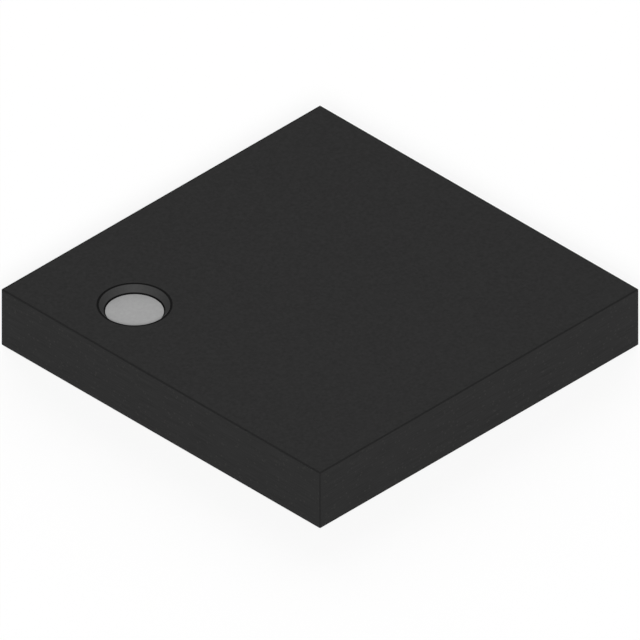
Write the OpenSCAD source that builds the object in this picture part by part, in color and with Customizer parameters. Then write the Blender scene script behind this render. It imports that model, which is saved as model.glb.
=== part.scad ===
// Quad flat no-lead integrated circuit package with pulled-back terminals.
// Millimetres, +Z up. The origin is the centre of the seating plane, on which the bare metal lies.
// Terminal 1 is at the back end of the left side, and the count runs anticlockwise seen from above.

/* [Moulding] */
// Side of the square moulding
body_side = 6; // [5:0.1:8]
// Height of the moulding
body_height = 0.9; // [0.8:0.05:1.2]
// How far the bare metal stands proud of the moulding's underside
standoff = 0.02; // [0.01:0.005:0.05]

/* [Index mark] */
// Diameter of the index recess at the top face
index_d = 0.98; // [0.6:0.01:1.4]
// Depth of the moulded recess
index_depth = 0.13; // [0.05:0.01:0.15]
// Lean of the recess's wall from upright
index_wall_angle = 40; // [15:5:50]
// Centre of the recess from the left side
index_from_left = 1.01; // [0.8:0.01:1.6]
// Centre of the recess from the back side
index_from_back = 1.5; // [0.8:0.01:2]
// Thickness of the paint on the recess's floor
paint_thickness = 0.02; // [0.01:0.005:0.03]

/* [Leadframe] */
// Thickness of the leadframe's metal
frame_thickness = 0.2; // [0.15:0.01:0.25]
// How much of that thickness is etched away from below
etch_depth = 0.1; // [0.06:0.01:0.12]
// Gap between the fingers' inner ends and the die pad
frame_gap = 0.25; // [0.15:0.01:0.4]
// Half-etched ledge round the die pad
pad_ledge = 0.15; // [0.05:0.01:0.25]
// Corner cut that marks terminal 1 on the bare pad
pad_corner_cut = 0.35; // [0.1:0.05:0.6]

/* [Terminals] */
// Distance from one terminal to the next
pitch = 0.65; // [0.5:0.05:0.8]
// Width of a terminal's bare face
terminal_w = 0.3; // [0.2:0.01:0.35]
// Length of a terminal's bare face
terminal_l = 0.5; // [0.3:0.01:0.55]
// Distance from the moulding's side to a terminal's outer end
pull_back = 0.1; // [0.05:0.01:0.15]
// How far the half-etched bond finger reaches in past the bare face
finger_reach = 0.15; // [0.1:0.01:0.2]
// How far the finger overhangs the bare face on each side
finger_ledge = 0.03; // [0.02:0.005:0.05]
// Least gap between the last finger of a side and the inner ends of the next side's fingers
corner_gap = 0.05; // [0.03:0.01:0.1]

/* [Die] */
// Thickness of the silicon die
die_thickness = 0.25; // [0.15:0.01:0.3]
// Distance from the die's edge to the die pad's edge
die_margin = 0.6; // [0.3:0.05:0.9]
// Thickness of the adhesive under the die
attach_thickness = 0.025; // [0.015:0.005:0.05]
// Width of the adhesive's fillet round the die
fillet_width = 0.1; // [0.05:0.01:0.2]
// Height to which the fillet climbs the die's sides
fillet_height = 0.1; // [0.05:0.01:0.12]
// Thickness of the fillet's upper lip
fillet_lip = 0.01; // [0.005:0.001:0.02]

/* [Bond wires] */
// Diameter of the gold wire
wire_d = 0.025; // [0.018:0.001:0.04]
// Height of the loop over the die
loop_height = 0.15; // [0.1:0.01:0.18]
// Diameter of the squashed ball on the die
ball_d = 0.07; // [0.05:0.005:0.09]
// Height of the squashed ball
ball_height = 0.02; // [0.01:0.005:0.03]
// Bond pads' line from the die's edge
bond_from_edge = 0.1; // [0.06:0.01:0.2]
// First bond pad from the die's corner, along the edge
bond_from_corner = 0.35; // [0.2:0.05:0.5]
// Length of the flattened stitch on the finger
stitch_length = 0.05; // [0.03:0.005:0.07]
// Thickness of the stitch at its tip
stitch_tip = 0.008; // [0.005:0.001:0.012]
// Width of the stitch at its tip
stitch_w = 0.045; // [0.03:0.005:0.06]
// Stitch's tip from the finger's inner end
stitch_from_end = 0.12; // [0.08:0.01:0.16]

/* [Hidden] */
$fn = 48;
// Cuts run this far past the faces that they open
cut_past = 0.05;

// Heights above the seating plane
mould_top = standoff + body_height;
die_seat = frame_thickness + attach_thickness;
die_top = die_seat + die_thickness;
recess_floor = mould_top - index_depth;

// Index recess, whose wall is a cone
recess_lean = tan(index_wall_angle);
recess_floor_d = index_d - 2 * index_depth * recess_lean;
paint_top_d = recess_floor_d + 2 * paint_thickness * recess_lean;
index_at = [index_from_left - body_side / 2, body_side / 2 - index_from_back];

// Places of a terminal, measured outwards from the package's centre
terminal_outer = body_side / 2 - pull_back;
terminal_inner = terminal_outer - terminal_l;
finger_inner = terminal_inner - finger_reach;
finger_w = terminal_w + 2 * finger_ledge;

// A side holds as many terminals as fit between the fingers of its two neighbours
per_side = floor(2 * (finger_inner - corner_gap - finger_w / 2) / pitch) + 1;
terminal_count = 4 * per_side;

// Die pad and die
pad_top_side = 2 * (finger_inner - frame_gap);
pad_bare_side = pad_top_side - 2 * pad_ledge;
die_side = pad_top_side - 2 * die_margin;

// Bond wires
bond_line = die_side / 2 - bond_from_edge;
bond_pitch = (die_side - 2 * bond_from_corner) / (per_side - 1);
stitch_line = finger_inner + stitch_from_end;
// Sides of a wire's section, and steps along its loop
wire_sides = 8;
loop_steps = 6;
// Middle of a flat of that section from its centre, for a radius of 1
flat_reach = cos(180 / wire_sides);
// Height of the ball's neck, and how far along the span the loop still runs high
neck_height = ball_height + (ball_d - wire_d) / 2;
loop_lead = 0.5;

// Sides in the order of the count, and the turn that takes the right side to each
SIDES = ["left", "front", "right", "back"];
function side_turn(s) = 180 + 90 * s;
function along_side(j, step) = (j - (per_side - 1) / 2) * step;
function terminal_name(i) = str("terminal_", i < 9 ? "0" : "", i + 1);
function wires_name(s) = str("bond_wires_", SIDES[s]);

// Black epoxy that fills the package round everything inside it
module mould_body() {
    color("#2f2f2f") difference() {
        translate([-body_side / 2, -body_side / 2, standoff])
            cube([body_side, body_side, body_height]);
        index_recess();
        die_pad();
        die_attach();
        die();
        for (s = [0:3]) bond_wires(s);
        for (i = [0:terminal_count - 1]) terminal(i);
    }
}

// Space of the index recess, open at the top face
module index_recess() {
    translate([index_at.x, index_at.y, recess_floor])
        cylinder(
            d1 = recess_floor_d,
            d2 = index_d + 2 * cut_past * recess_lean,
            h = index_depth + cut_past
        );
}

// Grey marking paint that covers the recess's floor
module index_dot() {
    color("#9d9d9d") translate([index_at.x, index_at.y, recess_floor])
        cylinder(d1 = recess_floor_d, d2 = paint_top_d, h = paint_thickness);
}

// Copper paddle: bare below, with a half-etched ledge that the moulding grips
module die_pad() {
    color("#c9c7c1") {
        linear_extrude(etch_depth) pad_outline(pad_bare_side);
        translate([0, 0, etch_depth])
            linear_extrude(frame_thickness - etch_depth) pad_outline(pad_top_side);
    }
}

// Square of a given side, with the corner next to terminal 1 cut off
module pad_outline(side) {
    half = side / 2;
    polygon([
        [-half, -half],
        [half, -half],
        [half, half],
        [pad_corner_cut - half, half],
        [-half, half - pad_corner_cut],
    ]);
}

// Adhesive under the die, squeezed out into a fillet
module die_attach() {
    fillet_foot = die_side + 2 * fillet_width;
    fillet_top = die_side + 2 * fillet_lip;
    color("#8f8d88") difference() {
        translate([0, 0, frame_thickness])
            linear_extrude(attach_thickness + fillet_height, scale = fillet_top / fillet_foot)
                square(fillet_foot, center = true);
        die();
    }
}

// Silicon chip
module die() {
    color("#5b6470") translate([-die_side / 2, -die_side / 2, die_seat])
        cube([die_side, die_side, die_thickness]);
}

// One terminal: a bare foot with a round inner end, under a wider half-etched bond finger
module terminal(i) {
    s = floor(i / per_side);
    j = i % per_side;
    color("#c9c7c1") rotate([0, 0, side_turn(s)]) translate([0, along_side(j, pitch), 0]) {
        linear_extrude(etch_depth) round_tongue(terminal_inner, terminal_w);
        translate([0, 0, etch_depth])
            linear_extrude(frame_thickness - etch_depth) round_tongue(finger_inner, finger_w);
    }
}

// Outline of a tongue from the terminals' outer line in to a half-round end
module round_tongue(inner, width) {
    radius = width / 2;
    translate([inner + radius, -radius]) square([terminal_outer - inner - radius, width]);
    translate([inner + radius, 0]) circle(radius);
}

// The gold wires of one side
module bond_wires(s) {
    color("#d9b44a") rotate([0, 0, side_turn(s)])
        for (j = [0:per_side - 1])
            bond_wire(
                [bond_line, along_side(j, bond_pitch)],
                [stitch_line, along_side(j, pitch)]
            );
}

// One wire: ball on the die, loop, and flattened stitch on the finger. Each station along it is
// [distance along the span, height, slope, half width, half thickness].
module bond_wire(ball_at, tip_at) {
    span = norm(tip_at - ball_at);
    heel = span - stitch_length;
    wire_r = wire_d / 2;
    heel_height = frame_thickness + wire_r * flat_reach;
    tip_height = frame_thickness + stitch_tip / 2 * flat_reach;
    loop = [
        [0, die_top + neck_height],
        [0, die_top + loop_height / 3 * 4],
        [loop_lead * span, die_top + loop_height],
        [heel, heel_height],
    ];
    stations = concat(
        [
            [0, die_top, 90, ball_d / 2, ball_d / 2],
            [0, die_top + ball_height, 90, ball_d / 2, ball_d / 2],
            [0, die_top + neck_height, 90, wire_r, wire_r],
        ],
        [
            for (k = [1:loop_steps - 1])
                concat(curve_point(loop, k / loop_steps), curve_slope(loop, k / loop_steps), wire_r, wire_r)
        ],
        [
            [heel, heel_height, 0, wire_r, wire_r],
            [span, tip_height, 0, stitch_w / 2, stitch_tip / 2],
        ]
    );
    heading = atan2(tip_at.y - ball_at.y, tip_at.x - ball_at.x);
    translate(ball_at) rotate([0, 0, heading]) swept_wire(stations);
}

// Point and slope of a cubic curve of four control points in the upright plane of the span
function curve_point(c, t) =
    pow(1 - t, 3) * c[0] + 3 * t * pow(1 - t, 2) * c[1] + 3 * t * t * (1 - t) * c[2] + pow(t, 3) * c[3];
function curve_way(c, t) =
    pow(1 - t, 2) * (c[1] - c[0]) + 2 * t * (1 - t) * (c[2] - c[1]) + t * t * (c[3] - c[2]);
function curve_slope(c, t) = atan2(curve_way(c, t).y, curve_way(c, t).x);

// Ring of points square to the wire at a station, with a flat below
function wire_ring(station) = [
    for (k = [0:wire_sides - 1])
        let (
            turn = (k + 0.5) * 360 / wire_sides,
            rise = station[4] * sin(turn)
        )
        [
            station[0] - rise * sin(station[2]),
            station[3] * cos(turn),
            station[1] + rise * cos(station[2]),
        ]
];

// Closed skin through the rings of all stations
module swept_wire(stations) {
    rings = len(stations);
    points = [for (station = stations) each wire_ring(station)];
    skin = [
        for (r = [0:rings - 2], k = [0:wire_sides - 1])
            let (
                a = r * wire_sides + k,
                b = r * wire_sides + (k + 1) % wire_sides
            )
            each [[a, b, b + wire_sides], [a, b + wire_sides, a + wire_sides]]
    ];
    start_cap = [for (k = [wire_sides - 1:-1:0]) k];
    end_cap = [for (k = [0:wire_sides - 1]) (rings - 1) * wire_sides + k];
    polyhedron(points, concat(skin, [start_cap, end_cap]));
}

mould_body();
index_dot();
die_pad();
die_attach();
die();
for (s = [0:3]) bond_wires(s);
for (i = [0:terminal_count - 1]) terminal(i);
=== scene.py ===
import math
from collections import namedtuple

import bmesh
import bpy
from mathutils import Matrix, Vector


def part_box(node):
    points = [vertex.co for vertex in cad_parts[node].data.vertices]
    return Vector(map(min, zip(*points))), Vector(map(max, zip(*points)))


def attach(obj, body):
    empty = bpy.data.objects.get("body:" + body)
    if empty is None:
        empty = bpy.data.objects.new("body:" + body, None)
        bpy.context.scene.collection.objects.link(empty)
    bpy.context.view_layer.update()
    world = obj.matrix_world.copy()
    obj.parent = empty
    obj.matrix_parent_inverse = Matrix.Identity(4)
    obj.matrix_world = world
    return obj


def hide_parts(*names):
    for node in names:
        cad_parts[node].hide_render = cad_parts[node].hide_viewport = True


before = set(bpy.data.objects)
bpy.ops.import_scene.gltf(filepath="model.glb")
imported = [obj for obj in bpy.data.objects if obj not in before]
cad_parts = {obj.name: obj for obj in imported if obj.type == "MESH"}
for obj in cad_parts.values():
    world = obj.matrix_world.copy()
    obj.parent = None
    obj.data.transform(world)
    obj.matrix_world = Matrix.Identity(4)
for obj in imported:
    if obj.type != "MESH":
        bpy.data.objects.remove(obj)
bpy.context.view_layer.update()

# Sizes are in millimetres here, and become metres when a piece is finished
MM = 0.001

# Points nearer than this are one point, and places are compared to this many digits
WELD = 1e-4
DIGITS = 4


# What the frame gives


def box_mm(node):
    """Lowest and highest corners of a CAD node."""
    return [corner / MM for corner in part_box(node)]


def points_of(node):
    """The points of a CAD node's mesh."""
    return [vertex.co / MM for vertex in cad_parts[node].data.vertices]


def points_at(node, height):
    """The points of a CAD node's mesh at one height."""
    return [point for point in points_of(node) if abs(point.z - height) < WELD]


def cad_mesh(node):
    """A CAD node's mesh to work on, with its points welded."""
    bm = bmesh.new()
    bm.from_mesh(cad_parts[node].data)
    bmesh.ops.scale(bm, vec=(1 / MM, 1 / MM, 1 / MM), verts=bm.verts)
    bmesh.ops.remove_doubles(bm, verts=bm.verts, dist=WELD)
    return bm


def middle_of(points):
    """The mean of some points."""
    return sum(points, Vector()) / len(points)


def index_radii(node, height):
    """Distances of a CAD node's points at one height from the index mark's axis."""
    return [(point - INDEX_AT).xy.length for point in points_at(node, height)]


mould_low, mould_high = box_mm("mould_body")
paint_low, paint_high = box_mm("index_dot")
die_low, die_high = box_mm("die")
paste_low, paste_high = box_mm("die_attach")
HALF_SIDE = mould_high.x
TOP = mould_high.z
UNDERSIDE = mould_low.z
FOOT, ETCHED_STEP, FRAME_TOP = sorted({round(point.z, DIGITS) for point in points_of("die_pad")})
INDEX_AT = (paint_low + paint_high) / 2
PAINT_TOP = paint_high.z
RECESS_FLOOR = paint_low.z
RIM_R = min(index_radii("mould_body", TOP))
FLOOR_R = max(index_radii("index_dot", RECESS_FLOOR))
DIE_HALF = die_high.x
PASTE_SPREAD = paste_high.x - DIE_HALF
PASTE_LIP = max(point.x for point in points_at("die_attach", paste_high.z)) - DIE_HALF


# Fine sizes

# The moulding's broken edges and corners, and the bruised band beside them on its faces
EDGE_BREAK = 0.008
CORNER_BREAK = 0.016
LEAST_CORNER = 0.002
BAND_ON_FACE = 0.016
BAND_ON_SIDE = 0.006

# The groove that the pin left round the recess: it lies on both sides of the rim, and deepens from its
# shoulder on the top to the recess's lip
GROOVE_OUTSIDE = 0.016
GROOVE_INSIDE = 0.015
GROOVE_SHOULDER = 0.004
GROOVE_DEPTH = 0.004
LIP_DROP = 0.007

# The recess's wall: how far down its rim is rounded, the size of its hollow foot and the height of that
# hollow's middle, and how far above the paint its foot is painted near-black as painted shade
RIM_ROUND = 0.034
FOOT_ROUND = 0.01
FOOT_HOLLOW = 0.0025
FOOT_SHADE_HEIGHT = 0.015

# The paint's gap to the wall and its rounded edge, and the plating's rounded edge
PAINT_DRAWN_IN = 0.004
PAINT_EDGE = 0.003
PLATING_ROUND = 0.006

# Sealed inside: the die's chipped edges, its bare sawing lane and its corners, and the paste's blunt foot
DIE_CHIP = 0.004
DIE_LANE = 0.03
DIE_CORNER = 0.002
PASTE_FOOT = 0.004

# A wire's ball: heights above the die as shares of its neck's height, and radii as shares of its own
BALL_PROFILE = ((0, 0.88), (0.1, 0.96), (0.22, 1), (0.34, 0.96), (0.43, 0.86), (0.47, 0.7))

# Which of a CAD wire's stations, counted from its ball, is its neck
NECK = 2

# Steps in a broken edge, a terminal's round end, a circle of the index mark and the paste's fillet
BREAK_STEPS = 3
TONGUE_STEPS = 24
ROUND_STEPS = 144
FILLET_STEPS = 12

# Steps round a wire, between two stations of its loop and along its stitch
WIRE_SIDES = 16
LOOP_STEPS = 3
STITCH_STEPS = 5

# Faces square to the part are shaded flat, and the rest round across edges of less than this angle
FLAT_ABOVE = 0.9999
SMOOTH_BELOW = math.radians(35)


# Small helpers


def wall_r(height):
    """Radius of the recess's leaning wall at one height."""
    return FLOOR_R + (RIM_R - FLOOR_R) * (height - RECESS_FLOOR) / (TOP - RECESS_FLOOR)


def linear(hex_colour):
    """An sRGB hex colour as the linear colour that shaders take."""
    parts = [int(hex_colour[i : i + 2], 16) / 255 for i in (1, 3, 5)]
    return [c / 12.92 if c <= 0.04045 else ((c + 0.055) / 1.055) ** 2.4 for c in parts] + [1.0]


def feed(tree, node, inputs):
    """Set a node's inputs: each takes a value, or the socket that it is linked from."""
    for socket, value in inputs.items():
        if isinstance(value, bpy.types.NodeSocket):
            tree.links.new(value, node.inputs[socket])
        else:
            node.inputs[socket].default_value = value


def add(tree, kind, inputs=None, **settings):
    """Add a node with its settings and inputs, and give its outputs."""
    made = tree.nodes.new(kind)
    for name, value in settings.items():
        setattr(made, name, value)
    feed(tree, made, inputs or {})
    return made.outputs


def start_material(name, **surface):
    """A material with one Principled shader, and the place on the part in millimetres."""
    made = bpy.data.materials.new(name)
    made.use_nodes = True
    tree = made.node_tree
    shader = tree.nodes["Principled BSDF"]
    feed(tree, shader, {socket.replace("_", " "): value for socket, value in surface.items()})
    place = add(tree, "ShaderNodeTexCoord")["Object"]
    in_mm = add(tree, "ShaderNodeVectorMath", {0: place, "Scale": 1 / MM}, operation="SCALE")[0]
    return made, tree, shader, in_mm


# Materials

EPOXY_IOR = 1.55
INK_IOR = 1.5
PASTE_IOR = 1.5
SILICON_IOR = 3.4

# The part of a noise's range that holds nearly all of it
NOISE_SPAN = {"From Min": 0.3, "From Max": 0.7}
BUMP_STRENGTH = 0.3


def grained(name, dark, light, grain_mm, cloud_mm, bump_mm, roughness, **surface):
    """A finish whose shade wanders between two tones in a fine grain and in broader clouds, whose
    gloss follows the clouds, and whose grain is also a fine bump."""
    cloud_share = 0.3
    gloss_spread = 0.12
    made, tree, shader, place = start_material(name, **surface)
    grain = add(
        tree, "ShaderNodeTexNoise", {"Vector": place, "Scale": 1 / grain_mm, "Detail": 3.0}
    )["Fac"]
    cloud = add(
        tree, "ShaderNodeTexNoise", {"Vector": place, "Scale": 1 / cloud_mm, "Detail": 2.0}
    )["Fac"]
    both = add(
        tree, "ShaderNodeMix", {"Factor": cloud_share, "A": grain, "B": cloud}, data_type="FLOAT"
    )["Result"]
    shade = add(tree, "ShaderNodeMapRange", {"Value": both, **NOISE_SPAN})["Result"]
    tint = add(
        tree,
        "ShaderNodeMix",
        {"Factor": shade, "A": linear(dark), "B": linear(light)},
        data_type="RGBA",
    )["Result"]
    gloss = add(
        tree,
        "ShaderNodeMapRange",
        {"Value": cloud, "To Min": roughness - gloss_spread, "To Max": roughness + gloss_spread},
    )["Result"]
    bump = add(
        tree,
        "ShaderNodeBump",
        {"Strength": BUMP_STRENGTH, "Distance": bump_mm * MM, "Height": grain},
    )["Normal"]
    feed(tree, shader, {"Base Color": tint, "Roughness": gloss, "Normal": bump})
    return made


def sawn_epoxy():
    """The same epoxy cut by a diamond saw: fine straight scratches along the cut, and pale flecks
    where grains of silica were cut through."""
    # A scratch's length along X and Y and its width along Z. The grit's scratches of a few microns are
    # drawn coarser, to show
    scratch_mm = (0.5, 0.5, 0.015)
    bump_mm = 0.003
    smooth, rough = 0.5, 0.8
    # Distance from fleck to fleck, shares of it at a fleck's core and rim, and how far a core is tinted
    fleck_mm = 0.075
    fleck_core, fleck_rim = 0.1, 0.25
    fleck_tint = 0.35
    made, tree, shader, place = start_material(
        "sawn_epoxy", IOR=EPOXY_IOR, Specular_IOR_Level=0.03
    )
    stretched = add(
        tree,
        "ShaderNodeVectorMath",
        {0: place, 1: [1 / size for size in scratch_mm]},
        operation="MULTIPLY",
    )[0]
    scratches = add(
        tree, "ShaderNodeTexNoise", {"Vector": stretched, "Scale": 1.0, "Detail": 2.0}
    )["Fac"]
    grains = add(
        tree, "ShaderNodeTexVoronoi", {"Vector": place, "Scale": 1 / fleck_mm}
    )["Distance"]
    fleck = add(
        tree,
        "ShaderNodeMapRange",
        {
            "Value": grains,
            "From Min": fleck_core,
            "From Max": fleck_rim,
            "To Min": fleck_tint,
            "To Max": 0.0,
        },
    )["Result"]
    shade = add(tree, "ShaderNodeMapRange", {"Value": scratches, **NOISE_SPAN})["Result"]
    tint = add(
        tree,
        "ShaderNodeMix",
        {"Factor": shade, "A": linear("#222222"), "B": linear("#2a2a2a")},
        data_type="RGBA",
    )["Result"]
    flecked = add(
        tree,
        "ShaderNodeMix",
        {"Factor": fleck, "A": tint, "B": linear("#3b3b39")},
        data_type="RGBA",
    )["Result"]
    gloss = add(
        tree, "ShaderNodeMapRange", {"Value": scratches, "To Min": smooth, "To Max": rough}
    )["Result"]
    bump = add(
        tree,
        "ShaderNodeBump",
        {"Strength": BUMP_STRENGTH, "Distance": bump_mm * MM, "Height": scratches},
    )["Normal"]
    feed(tree, shader, {"Base Color": flecked, "Roughness": gloss, "Normal": bump})
    return made


def passivated_silicon():
    """A polished silicon die: its glassy top shows blocks of circuit in dull tints, with a bright
    aluminium pad under each wire's ball, and its sawn sides are plain grey."""
    block_mm = 0.35
    half_pad = 0.04
    # The pads lie under the balls: on lines this far from the die's middle, and this far apart
    balls = [middle_of(rings[0]) for rings in wires_of("bond_wires_left")]
    ball_line = abs(balls[0].x)
    sideways = sorted(ball.y for ball in balls)
    ball_step = sideways[1] - sideways[0]
    made, tree, shader, place = start_material(
        "passivated_silicon", Roughness=0.2, IOR=SILICON_IOR
    )
    spot = add(tree, "ShaderNodeSeparateXYZ", {0: place})
    x = add(tree, "ShaderNodeMath", {0: spot["X"]}, operation="ABSOLUTE")[0]
    y = add(tree, "ShaderNodeMath", {0: spot["Y"]}, operation="ABSOLUTE")[0]
    outward = add(tree, "ShaderNodeMath", {0: x, 1: y}, operation="MAXIMUM")[0]
    along = add(tree, "ShaderNodeMath", {0: x, 1: y}, operation="MINIMUM")[0]
    row = add(tree, "ShaderNodeMath", {0: outward, 1: ball_line}, operation="SUBTRACT")[0]
    off_row = add(tree, "ShaderNodeMath", {0: row}, operation="ABSOLUTE")[0]
    off_step = add(tree, "ShaderNodeMath", {0: along, 1: ball_step / 2}, operation="PINGPONG")[0]
    off_pad = add(tree, "ShaderNodeMath", {0: off_row, 1: off_step}, operation="MAXIMUM")[0]
    on_pad = add(tree, "ShaderNodeMath", {0: off_pad, 1: half_pad}, operation="LESS_THAN")[0]
    on_top = add(
        tree, "ShaderNodeMath", {0: spot["Z"], 1: die_high.z - WELD}, operation="GREATER_THAN"
    )[0]
    blocks = add(
        tree,
        "ShaderNodeTexVoronoi",
        {"Vector": place, "Scale": 1 / block_mm},
        distance="CHEBYCHEV",
    )["Color"]
    block = add(tree, "ShaderNodeSeparateXYZ", {0: blocks})["X"]
    circuit = add(
        tree,
        "ShaderNodeMix",
        {"Factor": block, "A": linear("#4b5a55"), "B": linear("#6a5f77")},
        data_type="RGBA",
    )["Result"]
    padded = add(
        tree,
        "ShaderNodeMix",
        {"Factor": on_pad, "A": circuit, "B": linear("#c9cacc")},
        data_type="RGBA",
    )["Result"]
    tint = add(
        tree,
        "ShaderNodeMix",
        {"Factor": on_top, "A": linear("#565b61"), "B": padded},
        data_type="RGBA",
    )["Result"]
    feed(tree, shader, {"Base Color": tint})
    return made


# Black epoxy filled with silica, moulded against a spark-eroded steel face: flat and matte, with a
# fine even grain, faint clouds where the resin flowed, and hardly any shine. The steel's grain of
# about 15 microns is drawn three times as coarse, to show
moulded_top = grained(
    "spark_eroded_epoxy",
    dark="#242424",
    light="#2c2c2c",
    grain_mm=0.045,
    cloud_mm=0.9,
    bump_mm=0.004,
    roughness=0.7,
    IOR=EPOXY_IOR,
    Specular_IOR_Level=0.03,
)
sawn_side = sawn_epoxy()
# Epoxy polished by the steel pin that pressed the recess, a little glossier than the top; its colour is a
# lighter copy of the epoxy, painted light that makes its far wall look lit
wall_painted_light = grained(
    "wall_painted_light_epoxy",
    dark="#353535",
    light="#3a3a3a",
    grain_mm=0.03,
    cloud_mm=0.3,
    bump_mm=0.002,
    roughness=0.55,
    IOR=EPOXY_IOR,
    Specular_IOR_Level=0.03,
)
# Painted shade: the same epoxy painted near-black in the groove round the recess, where shade falls
groove_painted_shade = grained(
    "groove_painted_shade_epoxy",
    dark="#0a0a0a",
    light="#101010",
    grain_mm=0.02,
    cloud_mm=0.2,
    bump_mm=0.002,
    roughness=0.8,
    IOR=EPOXY_IOR,
    Specular_IOR_Level=0.04,
)
# Painted shade: the same epoxy painted near-black at the foot of the recess's wall, a ring of shade round
# the paint
foot_painted_shade = grained(
    "foot_painted_shade_epoxy",
    dark="#060606",
    light="#0a0a0a",
    grain_mm=0.02,
    cloud_mm=0.2,
    bump_mm=0.002,
    roughness=0.8,
    IOR=EPOXY_IOR,
    Specular_IOR_Level=0.04,
)
# Epoxy broken away along the saw's cut: rough, and a little darker than the faces
broken_edge = grained(
    "saw_broken_epoxy",
    dark="#1c1c1c",
    light="#222222",
    grain_mm=0.02,
    cloud_mm=0.2,
    bump_mm=0.004,
    roughness=0.8,
    IOR=EPOXY_IOR,
    Specular_IOR_Level=0.03,
)
# Epoxy moulded against a smooth film: a little glossier than the top
film_face = grained(
    "film_moulded_epoxy",
    dark="#232323",
    light="#292929",
    grain_mm=0.06,
    cloud_mm=0.7,
    bump_mm=0.002,
    roughness=0.5,
    IOR=EPOXY_IOR,
    Specular_IOR_Level=0.1,
)
# Pad-printed grey ink, dried dull with a faint mottle
marking_paint = grained(
    "matte_printing_ink",
    dark="#9b9b9b",
    light="#a3a3a3",
    grain_mm=0.05,
    cloud_mm=0.3,
    bump_mm=0.003,
    roughness=0.8,
    IOR=INK_IOR,
    Specular_IOR_Level=0.06,
)
# Electroplated matte tin: pale, with a soft satin lustre that shifts over the plated area. Its
# crystals of a few microns are drawn coarser, to show
matte_tin = grained(
    "matte_tin",
    dark="#a6a5a0",
    light="#c8c7c2",
    grain_mm=0.015,
    cloud_mm=0.25,
    bump_mm=0.003,
    roughness=0.42,
    Metallic=1.0,
)
# Rolled copper alloy, etched to shape: warm and dull
etched_copper = grained(
    "etched_copper",
    dark="#b06f48",
    light="#c4865f",
    grain_mm=0.02,
    cloud_mm=0.2,
    bump_mm=0.002,
    roughness=0.45,
    Metallic=1.0,
)
# Silver plated in spots where wires and die are bonded: white and soft
spot_silver = grained(
    "spot_plated_silver",
    dark="#d0cec8",
    light="#e0ded8",
    grain_mm=0.02,
    cloud_mm=0.2,
    bump_mm=0.001,
    roughness=0.35,
    Metallic=1.0,
)
# Epoxy paste full of silver flakes: grey, with a fine sparkle
die_paste = grained(
    "silver_filled_epoxy",
    dark="#7b7974",
    light="#9c9a95",
    grain_mm=0.02,
    cloud_mm=0.2,
    bump_mm=0.003,
    roughness=0.5,
    IOR=PASTE_IOR,
)
# Drawn gold wire, its ends pressed into balls and stitches: bright and yellow
drawn_gold = grained(
    "drawn_gold",
    dark="#d5a444",
    light="#e3b85f",
    grain_mm=0.01,
    cloud_mm=0.1,
    bump_mm=0.0005,
    roughness=0.25,
    Metallic=1.0,
)


# Meshes


def square_ring(bm, half, corner, height):
    """A square loop of points about the part's axis, from its half side and its corners' radius."""
    centre = half - corner
    loop = []
    for sign_x, sign_y, start in ((1, 1, 0), (-1, 1, 90), (-1, -1, 180), (1, -1, 270)):
        for step in range(BREAK_STEPS + 1):
            turn = math.radians(start + 90 * step / BREAK_STEPS)
            x = sign_x * centre + corner * math.cos(turn)
            y = sign_y * centre + corner * math.sin(turn)
            loop.append(bm.verts.new((x, y, height)))
    return loop


def round_ring(bm, radius, height):
    """A round loop of points about the index mark's axis."""
    loop = []
    for step in range(ROUND_STEPS):
        turn = math.tau * step / ROUND_STEPS
        x = INDEX_AT.x + radius * math.cos(turn)
        y = INDEX_AT.y + radius * math.sin(turn)
        loop.append(bm.verts.new((x, y, height)))
    return loop


def skin(bm, low, high, finish):
    """Quads between two loops of as many points."""
    count = len(low)
    made = []
    for k in range(count):
        after = (k + 1) % count
        face = bm.faces.new((low[k], low[after], high[after], high[k]))
        face.material_index = finish
        made.append(face)
    return made


def stack(bm, loops, finishes=None):
    """Skin a stack of loops and close both its ends. A loop has the finish of the band after it, and
    without finishes the whole stack has the first one."""
    finishes = finishes or [0] * len(loops)
    for low, high, finish in zip(loops, loops[1:], finishes):
        skin(bm, low, high, finish)
    bm.faces.new(loops[0]).material_index = finishes[0]
    bm.faces.new(loops[-1]).material_index = finishes[-1]


def loop_edges(bm, loop):
    """The edges along a closed loop of points."""
    pairs = [(loop[k - 1], loop[k]) for k in range(len(loop))]
    return [bm.edges.get(pair) or bm.edges.new(pair) for pair in pairs]


def fill_between(bm, edges, up, finish):
    """Fill the flat face that the loops of edges bound."""
    made = bmesh.ops.triangle_fill(bm, edges=edges, normal=(0, 0, up), use_beauty=True)
    for item in made["geom"]:
        if isinstance(item, bmesh.types.BMFace):
            item.material_index = finish


def finish_piece(bm, name, node, finishes):
    """Turn a mesh in millimetres into a piece that stands for a CAD node."""
    bmesh.ops.recalc_face_normals(bm, faces=bm.faces)
    for face in bm.faces:
        face.smooth = max(abs(part) for part in face.normal) < FLAT_ABOVE
    for edge in bm.edges:
        edge.smooth = edge.calc_face_angle(math.pi) < SMOOTH_BELOW
    bmesh.ops.scale(bm, vec=(MM, MM, MM), verts=bm.verts)
    mesh = bpy.data.meshes.new(name)
    bm.to_mesh(mesh)
    bm.free()
    for finish in finishes:
        mesh.materials.append(finish)
    piece = bpy.data.objects.new(name, mesh)
    bpy.context.scene.collection.objects.link(piece)
    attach(piece, "root")
    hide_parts(node)


def quarter_round(radius):
    """Pairs of inset and rise along a rounded edge, from a flat face below to an upright side."""
    turns = [math.radians(90) * step / BREAK_STEPS for step in range(BREAK_STEPS + 1)]
    return [(radius * (1 - math.sin(turn)), radius * (1 - math.cos(turn))) for turn in turns]


# The moulding and its paint


def opened_mould():
    """The moulding's inner faces as the CAD has them, without its top, sides, recess and underside."""
    bm = cad_mesh("mould_body")
    outside = []
    for face in bm.faces:
        middle = face.calc_center_median()
        sawn = max(abs(middle.x), abs(middle.y)) > HALF_SIDE - WELD
        if sawn or middle.z > RECESS_FLOOR - WELD or middle.z < UNDERSIDE + WELD:
            outside.append(face)
    bmesh.ops.delete(bm, geom=outside, context="FACES")
    return bm


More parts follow.
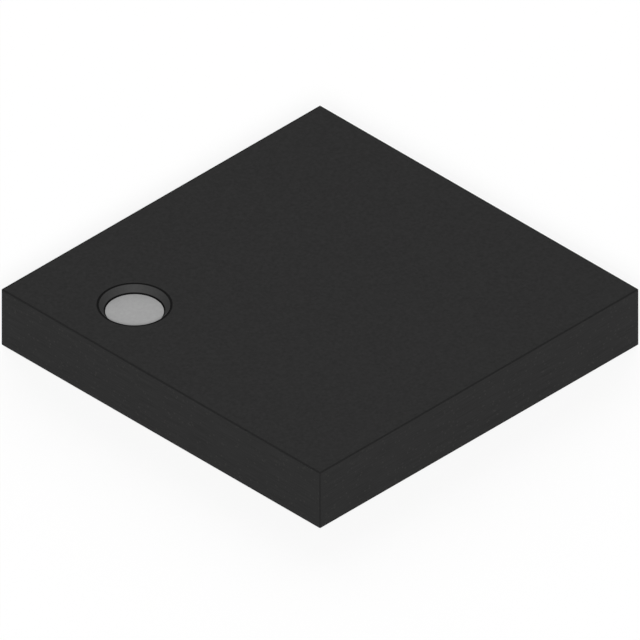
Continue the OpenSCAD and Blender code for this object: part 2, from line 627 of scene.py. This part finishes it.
def mould_skin():
    """The moulding: its inner faces as the CAD has them, and its outside rebuilt with broken edges
    and a truly round recess."""
    finishes = [moulded_top, sawn_side, film_face, broken_edge, wall_painted_light, groove_painted_shade, foot_painted_shade]
    top, side, under, edge, wall, groove_shade, foot_shade = range(len(finishes))
    bm = opened_mould()
    for face in bm.faces:
        face.material_index = under
    openings = [edge_of_hole for edge_of_hole in bm.edges if edge_of_hole.is_boundary]

    # Outside, ring by ring from the underside to the top
    broken = quarter_round(EDGE_BREAK)
    on_face = EDGE_BREAK + BAND_ON_FACE
    on_side = EDGE_BREAK + BAND_ON_SIDE
    stations = [(on_face, UNDERSIDE)] + [(inset, UNDERSIDE + rise) for inset, rise in broken]
    stations += [(0, UNDERSIDE + on_side), (0, TOP - on_side)]
    stations += [(inset, TOP - rise) for inset, rise in reversed(broken)] + [(on_face, TOP)]
    rings = []
    for inset, height in stations:
        corner = max(CORNER_BREAK - inset, LEAST_CORNER)
        rings.append(square_ring(bm, HALF_SIDE - inset, corner, height))
    for low, high in zip(rings, rings[1:]):
        faces = skin(bm, low, high, edge)
        # In the tall band, the flat faces between the corners are the sawn sides
        if high[0].co.z - low[0].co.z > on_face:
            for flat in faces[BREAK_STEPS :: BREAK_STEPS + 1]:
                flat.material_index = side

    # Recess: each ring with the finish of the band below it, from the rim to the floor
    profile = [
        (RIM_R + GROOVE_OUTSIDE + GROOVE_SHOULDER, TOP, top),
        # From the groove's bottom to the lip the epoxy is painted near-black as painted shade
        (RIM_R + GROOVE_OUTSIDE, TOP - GROOVE_DEPTH, groove_shade),
        # The wall's finish is painted light: a lighter copy of the same epoxy
        (RIM_R - GROOVE_INSIDE, TOP - LIP_DROP, wall),
        (wall_r(TOP - RIM_ROUND), TOP - RIM_ROUND, wall),
        # From here down to the floor the wall is painted near-black as painted shade round the paint
        (wall_r(PAINT_TOP + FOOT_SHADE_HEIGHT), PAINT_TOP + FOOT_SHADE_HEIGHT, foot_shade),
        (wall_r(RECESS_FLOOR + FOOT_ROUND), RECESS_FLOOR + FOOT_ROUND, foot_shade),
        (FLOOR_R, RECESS_FLOOR + FOOT_HOLLOW, foot_shade),
        (FLOOR_R - FOOT_ROUND, RECESS_FLOOR, foot_shade),
    ]
    circles = [round_ring(bm, radius, height) for radius, height, _ in profile]
    for high, low, (_, _, finish) in zip(circles, circles[1:], profile):
        skin(bm, low, high, finish)
    bm.faces.new(circles[-1]).material_index = foot_shade

    fill_between(bm, loop_edges(bm, rings[-1]) + loop_edges(bm, circles[0]), 1, top)
    fill_between(bm, loop_edges(bm, rings[0]) + openings, -1, under)
    finish_piece(bm, "mould_skin", "mould_body", finishes)


def paint_dot():
    """The dot of paint, which drew in a little from the recess's wall as it dried."""
    edge_r = wall_r(PAINT_TOP - PAINT_EDGE) - PAINT_DRAWN_IN
    rounded = [(edge_r - inset, PAINT_TOP - rise) for inset, rise in quarter_round(PAINT_EDGE)]
    profile = [(FLOOR_R - PAINT_DRAWN_IN, RECESS_FLOOR)] + rounded[::-1]
    bm = bmesh.new()
    stack(bm, [round_ring(bm, radius, height) for radius, height in profile])
    finish_piece(bm, "paint_dot", "index_dot", [marking_paint])


# The leadframe


def outline_at(node, height):
    """The convex outline of a CAD node's points at one height, anticlockwise."""
    points = {}
    for point in points_at(node, height):
        points[(round(point.x, DIGITS), round(point.y, DIGITS))] = point
    middle = middle_of(points.values())
    return sorted(points.values(), key=lambda p: math.atan2(p.y - middle.y, p.x - middle.x))


def drawn_in(outline, inset):
    """A convex outline moved in by the same distance on every edge."""
    moved = []
    for k, point in enumerate(outline):
        before = (point - outline[k - 1]).normalized()
        after = (outline[(k + 1) % len(outline)] - point).normalized()
        outward = Vector((before.y + after.y, -before.x - after.x, 0))
        moved.append(point - outward * inset / (1 + before.dot(after)))
    return moved


def plated_metal(name, node, foot, finger):
    """A piece of the leadframe: tin on its bare foot, whose edge the plating rounds, copper inside
    the moulding, and silver where a wire or the die is bonded."""
    finishes = [matte_tin, etched_copper, spot_silver]
    tin, copper, silver = range(len(finishes))
    rounded = quarter_round(PLATING_ROUND)
    stations = [(drawn_in(foot, inset), FOOT + rise, tin) for inset, rise in rounded]
    stations += [
        (foot, UNDERSIDE, copper),
        (foot, ETCHED_STEP, copper),
        (finger, ETCHED_STEP, copper),
        (finger, FRAME_TOP, silver),
    ]
    bm = bmesh.new()
    rings = [[bm.verts.new((p.x, p.y, height)) for p in outline] for outline, height, _ in stations]
    stack(bm, rings, [finish for _, _, finish in stations])
    finish_piece(bm, name, node, finishes)


def tongue(node, height):
    """A terminal's outline at one height, from its CAD points: square at its outer end, and truly
    half round at its inner end."""
    points = outline_at(node, height)
    centre = middle_of(box_mm(node))
    if abs(centre.x) > abs(centre.y):
        outward = Vector((math.copysign(1, centre.x), 0, 0))
    else:
        outward = Vector((0, math.copysign(1, centre.y), 0))
    across = Vector((-outward.y, outward.x, 0))
    outs = [point.dot(outward) for point in points]
    sides = [point.dot(across) for point in points]
    radius = (max(sides) - min(sides)) / 2
    middle = across * (max(sides) + min(sides)) / 2
    round_centre = middle + outward * (min(outs) + radius)
    square_end = middle + outward * max(outs)
    outline = [square_end - across * radius, square_end + across * radius]
    for step in range(TONGUE_STEPS + 1):
        turn = math.radians(90 + 180 * step / TONGUE_STEPS)
        outline.append(round_centre + (outward * math.cos(turn) + across * math.sin(turn)) * radius)
    return outline


# The die, its paste and its wires


def sawn_die():
    """The die: chipped along its sawn lower edge, with a bare lane round its glassy top."""
    stations = [
        (DIE_HALF - DIE_CHIP, die_low.z),
        (DIE_HALF, die_low.z + DIE_CHIP),
        (DIE_HALF, die_high.z - DIE_CHIP),
        (DIE_HALF - DIE_LANE, die_high.z - DIE_CHIP),
        (DIE_HALF - DIE_LANE - DIE_CHIP, die_high.z),
    ]
    bm = bmesh.new()
    stack(bm, [square_ring(bm, half, DIE_CORNER, height) for half, height in stations])
    finish_piece(bm, "sawn_die", "die", [passivated_silicon()])


def paste_bed():
    """The paste under the die, squeezed out into a hollow fillet that climbs the die's sides and runs
    round its corners."""
    climb = paste_high.z - paste_low.z - PASTE_FOOT
    stations = [(PASTE_SPREAD, paste_low.z)]
    for step in range(FILLET_STEPS + 1):
        turn = math.radians(90 * step / FILLET_STEPS)
        out = PASTE_SPREAD - (PASTE_SPREAD - PASTE_LIP) * math.sin(turn)
        stations.append((out, paste_high.z - climb * math.cos(turn)))
    stations += [(0, paste_high.z), (0, die_low.z)]
    bm = bmesh.new()
    rings = [square_ring(bm, DIE_HALF + out, max(out, DIE_CORNER), height) for out, height in stations]
    stack(bm, rings)
    finish_piece(bm, "paste_bed", "die_attach", [die_paste])


# A place along a wire: its centre, half its width, half its thickness and its upward way
Station = namedtuple("Station", "centre wide thick up")


def linked(point):
    """The points that edges link to a point."""
    return [edge.other_vert(point) for edge in point.link_edges]


def wires_of(node):
    """The CAD wires of one side: each a list of rings of points, from its ball to its stitch's tip."""
    bm = cad_mesh(node)
    on_die = [point for point in bm.verts if abs(point.co.z - die_high.z) < WELD]
    walked = set()
    wires = []
    for seed in on_die:
        if seed in walked:
            continue
        # The ring grows over the ball's points on the die while it is walked
        ring = [seed]
        for point in ring:
            ring += [other for other in linked(point) if other in on_die and other not in ring]
        wire = []
        while ring:
            wire.append([point.co.copy() for point in ring])
            walked.update(ring)
            beyond = {other for point in ring for other in linked(point)} - walked
            ring = sorted(beyond, key=lambda point: point.co.to_tuple())
        wires.append(wire)
    bm.free()
    return wires


def wire_stations(rings):
    """The stations at a CAD wire's rings, and the level way across the wire."""
    centres = [middle_of(ring) for ring in rings]
    heading = (centres[-1] - centres[0]) * Vector((1, 1, 0))
    heading.normalize()
    across = Vector((-heading.y, heading.x, 0))
    stations = []
    for ring, centre in zip(rings, centres):
        # The CAD wire's points lie half a step to each side of its width and its thickness
        reach = math.cos(math.pi / len(ring))
        offsets = [point - centre for point in ring]
        wide = max(offset.dot(across) for offset in offsets) / reach
        rises = [offset - across * offset.dot(across) for offset in offsets]
        rise = max((r for r in rises if r.z > r.dot(heading)), key=lambda r: r.length)
        stations.append(Station(centre, wide, rise.length / reach, rise.normalized()))
    return stations, across


def between(start, end, share):
    """A station between two others."""
    centre, wide, thick, up = (a + (b - a) * share for a, b in zip(start, end))
    return Station(centre, wide, thick, up.normalized())


def ball_stations(foot, neck):
    """The ball, bulged where it was squashed on the die."""
    made = []
    for height_share, radius_share in BALL_PROFILE:
        radius = foot.wide * radius_share
        made.append(Station(foot.centre.lerp(neck.centre, height_share), radius, radius, neck.up))
    return made


def loop_stations(stations):
    """The loop, on a smooth curve through the CAD wire's stations from its neck to its heel."""
    made = []
    for k in range(NECK, len(stations) - 2):
        before, start, end, after = (station.centre for station in stations[k - 1 : k + 3])
        for step in range(LOOP_STEPS):
            t = step / LOOP_STEPS
            bend = (end - before) * t + (before * 2 - start * 5 + end * 4 - after) * t**2
            bend += (start * 3 - before - end * 3 + after) * t**3
            made.append(between(stations[k], stations[k + 1], t)._replace(centre=start + bend / 2))
    return made


def stitch_stations(heel, tip):
    """The stitch, pressed flat on its finger from the wire's heel to its tip."""
    made = []
    for step in range(STITCH_STEPS + 1):
        station = between(heel, tip, step / STITCH_STEPS)
        station.centre.z = FRAME_TOP + station.thick * math.cos(math.pi / WIRE_SIDES)
        made.append(station)
    return made


def wire_ring(bm, station, across):
    """A loop of points round a wire at one station."""
    loop = []
    for side in range(WIRE_SIDES):
        turn = math.tau * (side + 0.5) / WIRE_SIDES
        level = across * station.wide * math.cos(turn)
        upward = station.up * station.thick * math.sin(turn)
        loop.append(bm.verts.new(station.centre + level + upward))
    return loop


def drawn_wires(name, node):
    """The wires of one side: each a ball squashed on the die, an even loop, and a stitch pressed flat
    on its finger."""
    bm = bmesh.new()
    for rings in wires_of(node):
        stations, across = wire_stations(rings)
        made = ball_stations(stations[0], stations[NECK])
        made += loop_stations(stations)
        made += stitch_stations(*stations[-2:])
        stack(bm, [wire_ring(bm, station, across) for station in made])
    finish_piece(bm, name, node, [drawn_gold])


mould_skin()
paint_dot()
plated_metal("plated_die_pad", "die_pad", outline_at("die_pad", FOOT), outline_at("die_pad", FRAME_TOP))
sawn_die()
paste_bed()
for node in sorted(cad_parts):
    if node.startswith("terminal"):
        plated_metal("plated_" + node, node, tongue(node, FOOT), tongue(node, FRAME_TOP))
    if node.startswith("bond_wires"):
        drawn_wires("drawn_" + node, node)


# Camera, light and floor

# The photograph's view: isometric, with the part's middle a little above the picture's
VIEW_AZIMUTH = math.radians(-45)
VIEW_ELEVATION = math.atan(math.sqrt(0.5))
VIEW_WIDTH = 8.516
PICTURE_PX = 640
PART_ABOVE_MIDDLE_PX = 3.1
CAMERA_AWAY = 30
CLIP_NEAR = 1
CLIP_FAR = 1000

# Shares of the light on the top, the lamps' widths and the fill's height
SKY_SHARE = 0.15
FILL_SHARE = 0.17
KEY_WIDTH = math.radians(20)
FILL_WIDTH = math.radians(60)
FILL_ELEVATION = math.radians(20)

# The floor's side, how far it lies below the part, and how much of the shadow shows on it
FLOOR_SIDE = 400
FLOOR_BELOW = 0.0002
FLOOR_SHADOW = 0.28
WHITE = linear("#ffffff")
CARD_WHITE = linear("#f3f3f3")

scene = bpy.context.scene
scene.view_settings.view_transform = "Standard"


def direction(azimuth, elevation):
    """The way from the part to something round it; azimuth 0 is in front, at -Y."""
    flat = math.cos(elevation)
    return Vector((math.sin(azimuth) * flat, -math.cos(azimuth) * flat, math.sin(elevation)))


toward_camera = direction(VIEW_AZIMUTH, VIEW_ELEVATION)
facing = (-toward_camera).to_track_quat("-Z", "Y")
camera = bpy.data.objects.new("camera", bpy.data.cameras.new("camera"))
scene.collection.objects.link(camera)
camera.data.type = "ORTHO"
camera.data.ortho_scale = VIEW_WIDTH * MM
camera.data.clip_start = CLIP_NEAR * MM
camera.data.clip_end = CLIP_FAR * MM
camera.rotation_mode = "QUATERNION"
camera.rotation_quaternion = facing
middle = Vector((0, 0, (TOP + UNDERSIDE) / 2))
drop = facing @ Vector((0, PART_ABOVE_MIDDLE_PX * VIEW_WIDTH / PICTURE_PX, 0))
camera.location = (middle - drop + toward_camera * CAMERA_AWAY) * MM
scene.camera = camera


def soft_lamp(name, toward, share, width):
    """A wide lamp that gives the floor and the top this share of a plain level of light."""
    made = bpy.data.objects.new(name, bpy.data.lights.new(name, "SUN"))
    scene.collection.objects.link(made)
    made.rotation_mode = "QUATERNION"
    made.rotation_quaternion = (-toward).to_track_quat("-Z", "Y")
    made.data.energy = share * math.pi / toward.z
    made.data.angle = width
    return made


# A key lamp behind the camera, a low fill from the far side and an even sky: together they light the
# top at 1, where a colour renders as it is written
soft_lamp("key_lamp", toward_camera, 1 - SKY_SHARE - FILL_SHARE, KEY_WIDTH)
toward_fill = direction(VIEW_AZIMUTH + math.pi, FILL_ELEVATION)
fill_lamp = soft_lamp("fill_lamp", toward_fill, FILL_SHARE, FILL_WIDTH)
# Its gloss would only put a haze over the top
fill_lamp.visible_glossy = False


def seen_rays(tree):
    """One for rays that the eye follows: straight, mirrored or through glass."""
    path = add(tree, "ShaderNodeLightPath")
    mirrored = add(
        tree,
        "ShaderNodeMath",
        {0: path["Is Glossy Ray"], 1: path["Is Transmission Ray"]},
        operation="MAXIMUM",
    )[0]
    return add(
        tree, "ShaderNodeMath", {0: path["Is Camera Ray"], 1: mirrored}, operation="MAXIMUM"
    )[0]


def white_room():
    """A white room that lights the part with only its share, and looks fully white."""
    made = bpy.data.worlds.new("white_room")
    made.use_nodes = True
    tree = made.node_tree
    tree.nodes.clear()
    strength = add(
        tree, "ShaderNodeMapRange", {"Value": seen_rays(tree), "To Min": SKY_SHARE, "To Max": 1.0}
    )["Result"]
    white = add(tree, "ShaderNodeBackground", {"Color": WHITE, "Strength": strength})[0]
    add(tree, "ShaderNodeOutputWorld", {"Surface": white})
    return made


def white_card():
    """White card, partly glowing to the eye so that the part's shadow on it stays faint. It is clear
    from below, so that the part's underside can be looked at."""
    made = bpy.data.materials.new("white_card")
    # The glow is for the eye alone: as a lamp it would put a streak on the part's underside
    made.cycles.emission_sampling = "NONE"
    made.use_nodes = True
    tree = made.node_tree
    tree.nodes.clear()
    card = add(tree, "ShaderNodeBsdfDiffuse", {"Color": CARD_WHITE})[0]
    shadowed = add(tree, "ShaderNodeBsdfDiffuse", {"Color": WHITE})[0]
    glow = add(tree, "ShaderNodeEmission", {"Color": WHITE, "Strength": 1.0})[0]
    eye = add(tree, "ShaderNodeMixShader", {0: FLOOR_SHADOW, 1: glow, 2: shadowed})[0]
    above = add(tree, "ShaderNodeMixShader", {0: seen_rays(tree), 1: card, 2: eye})[0]
    clear = add(tree, "ShaderNodeBsdfTransparent", {"Color": WHITE})[0]
    behind = add(tree, "ShaderNodeNewGeometry")["Backfacing"]
    surface = add(tree, "ShaderNodeMixShader", {0: behind, 1: above, 2: clear})[0]
    add(tree, "ShaderNodeOutputMaterial", {"Surface": surface})
    return made


scene.world = white_room()
floor_mesh = bpy.data.meshes.new("floor")
half = FLOOR_SIDE / 2 * MM
floor_mesh.from_pydata(
    [(-half, -half, 0), (half, -half, 0), (half, half, 0), (-half, half, 0)], [], [(0, 1, 2, 3)]
)
floor_mesh.materials.append(white_card())
floor = bpy.data.objects.new("floor", floor_mesh)
floor.location.z = -FLOOR_BELOW * MM
scene.collection.objects.link(floor)
